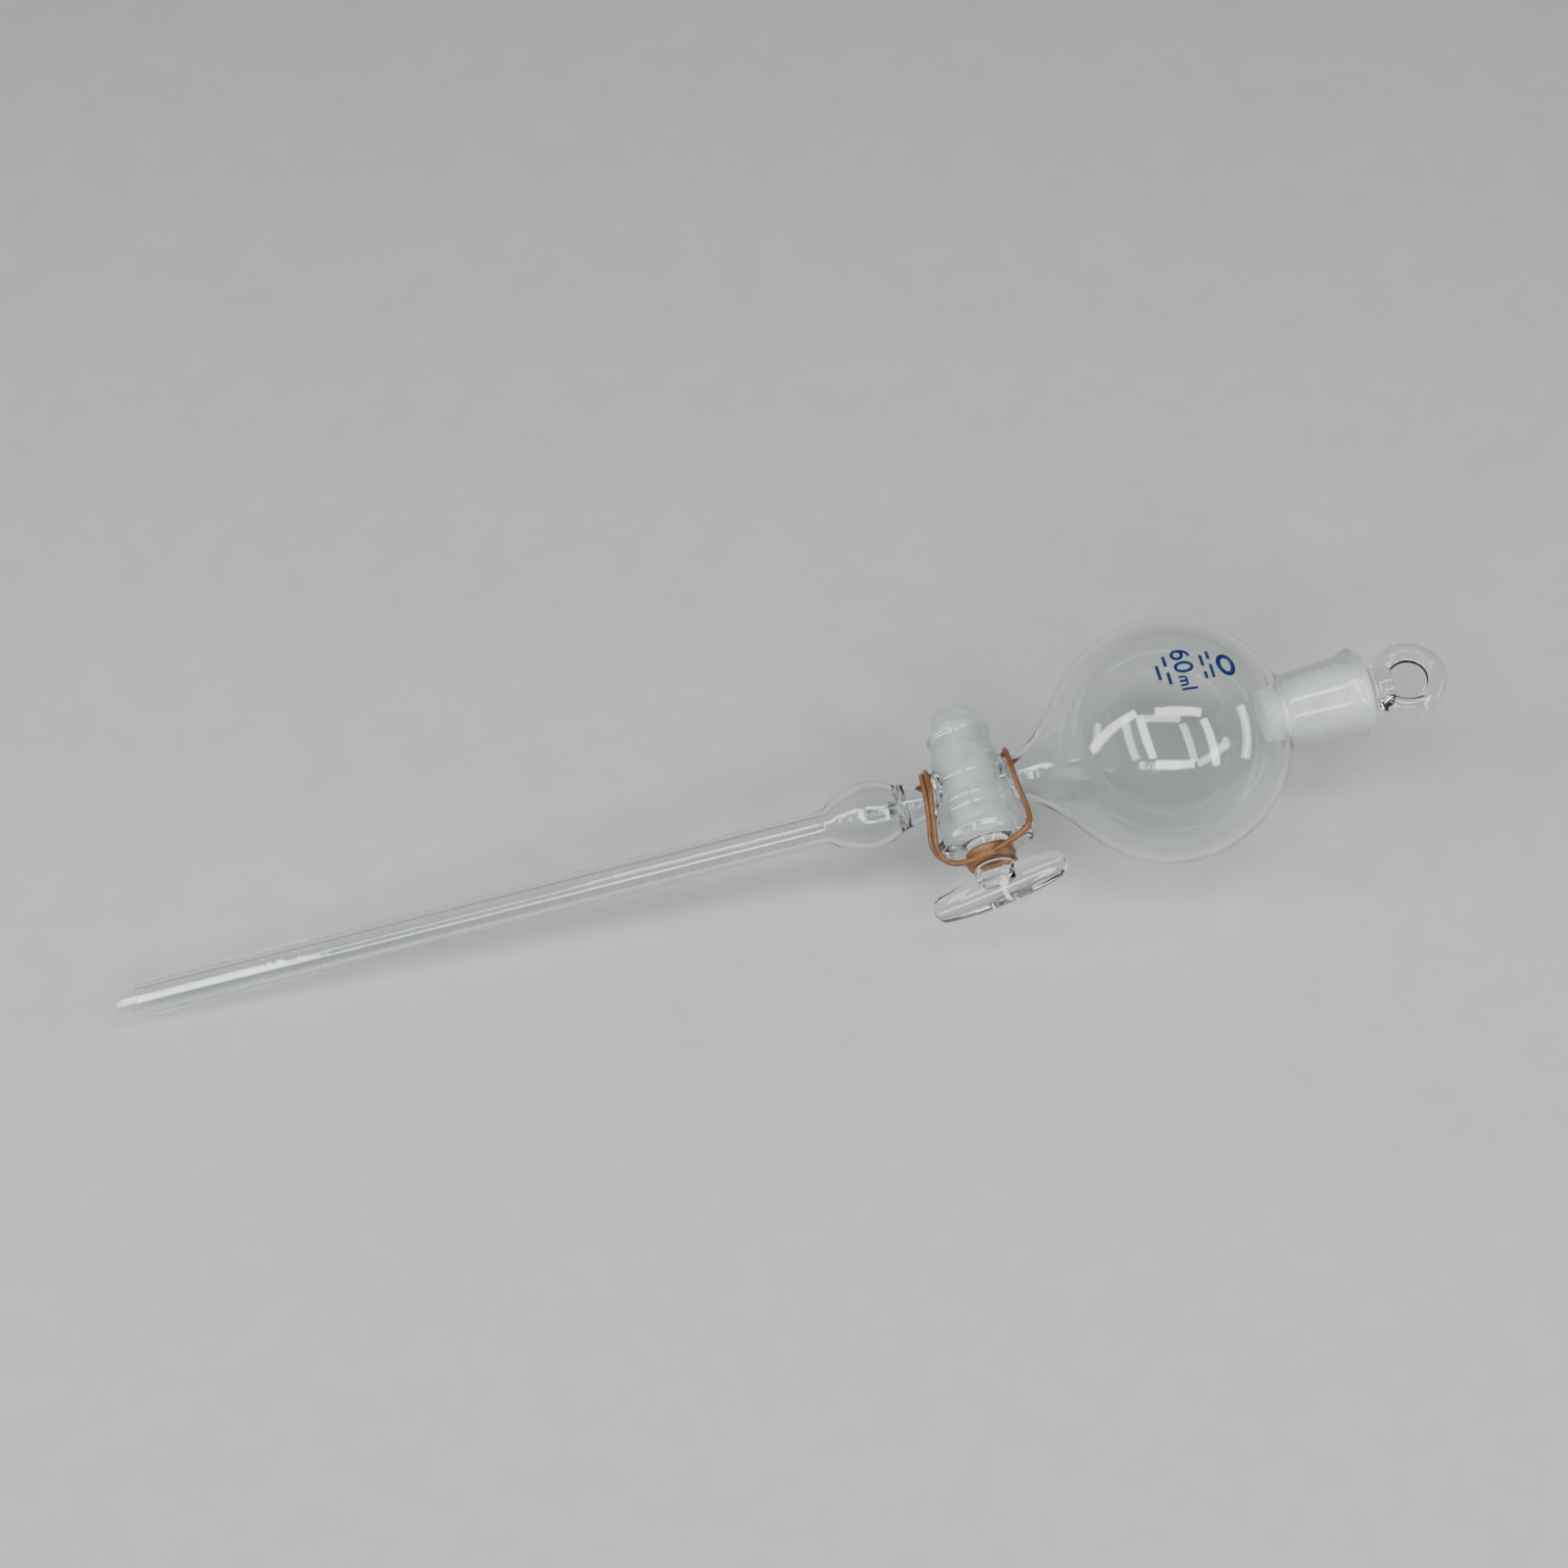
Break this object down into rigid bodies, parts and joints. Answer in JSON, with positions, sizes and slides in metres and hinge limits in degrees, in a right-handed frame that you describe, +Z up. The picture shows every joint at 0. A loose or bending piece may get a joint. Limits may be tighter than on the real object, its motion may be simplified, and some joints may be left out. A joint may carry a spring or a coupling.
{
  "type": "dropping funnel",
  "caption": "Spherical glass dropping funnel with a ground stopper, a glass stopcock key held by a rubber band, a drip bulb and a long bevelled stem.",
  "frame": {"origin": "table surface under the middle of the funnel's length, as it lies on its bulb and stem tip", "axes": "+Z up from the table, +X along the funnel's length towards the stopper, the stopcock handle points towards -Y"},
  "size_m": [0.2973, 0.0547, 0.054],
  "materials": {
    "clear_glass": "clear fire-polished borosilicate glass",
    "ground_glass": "ground glass, evenly frosted",
    "latex": "amber latex, satin"
  },
  "bodies": {
    "funnel": {"bulb": "clear_glass", "neck_socket": "ground_glass", "inlet_arm": "clear_glass", "stopcock_barrel": "clear_glass", "outlet_arm": "clear_glass", "drip_tip": "clear_glass", "drip_bulb": "clear_glass", "stem_tube": "clear_glass", "rubber_band": "latex"},
    "stopper": {"stopper_plug": "ground_glass", "stopper_shank": "clear_glass", "stopper_disc": "clear_glass"},
    "key": {"key_plug": "ground_glass", "key_shank": "clear_glass", "key_handle": "clear_glass"}
  },
  "joints": [
    {"name": "stopper_pull", "type": "slide", "parent": "funnel", "child": "stopper", "axis": [0.995, 0, 0.1003], "range_m": [0, 0.045]},
    {"name": "key_turn", "type": "hinge", "parent": "funnel", "child": "key", "pos_m": [0.04244, 0, 0.02258], "axis": [0.007, -0.9976, -0.0694], "continuous": true}
  ]
}
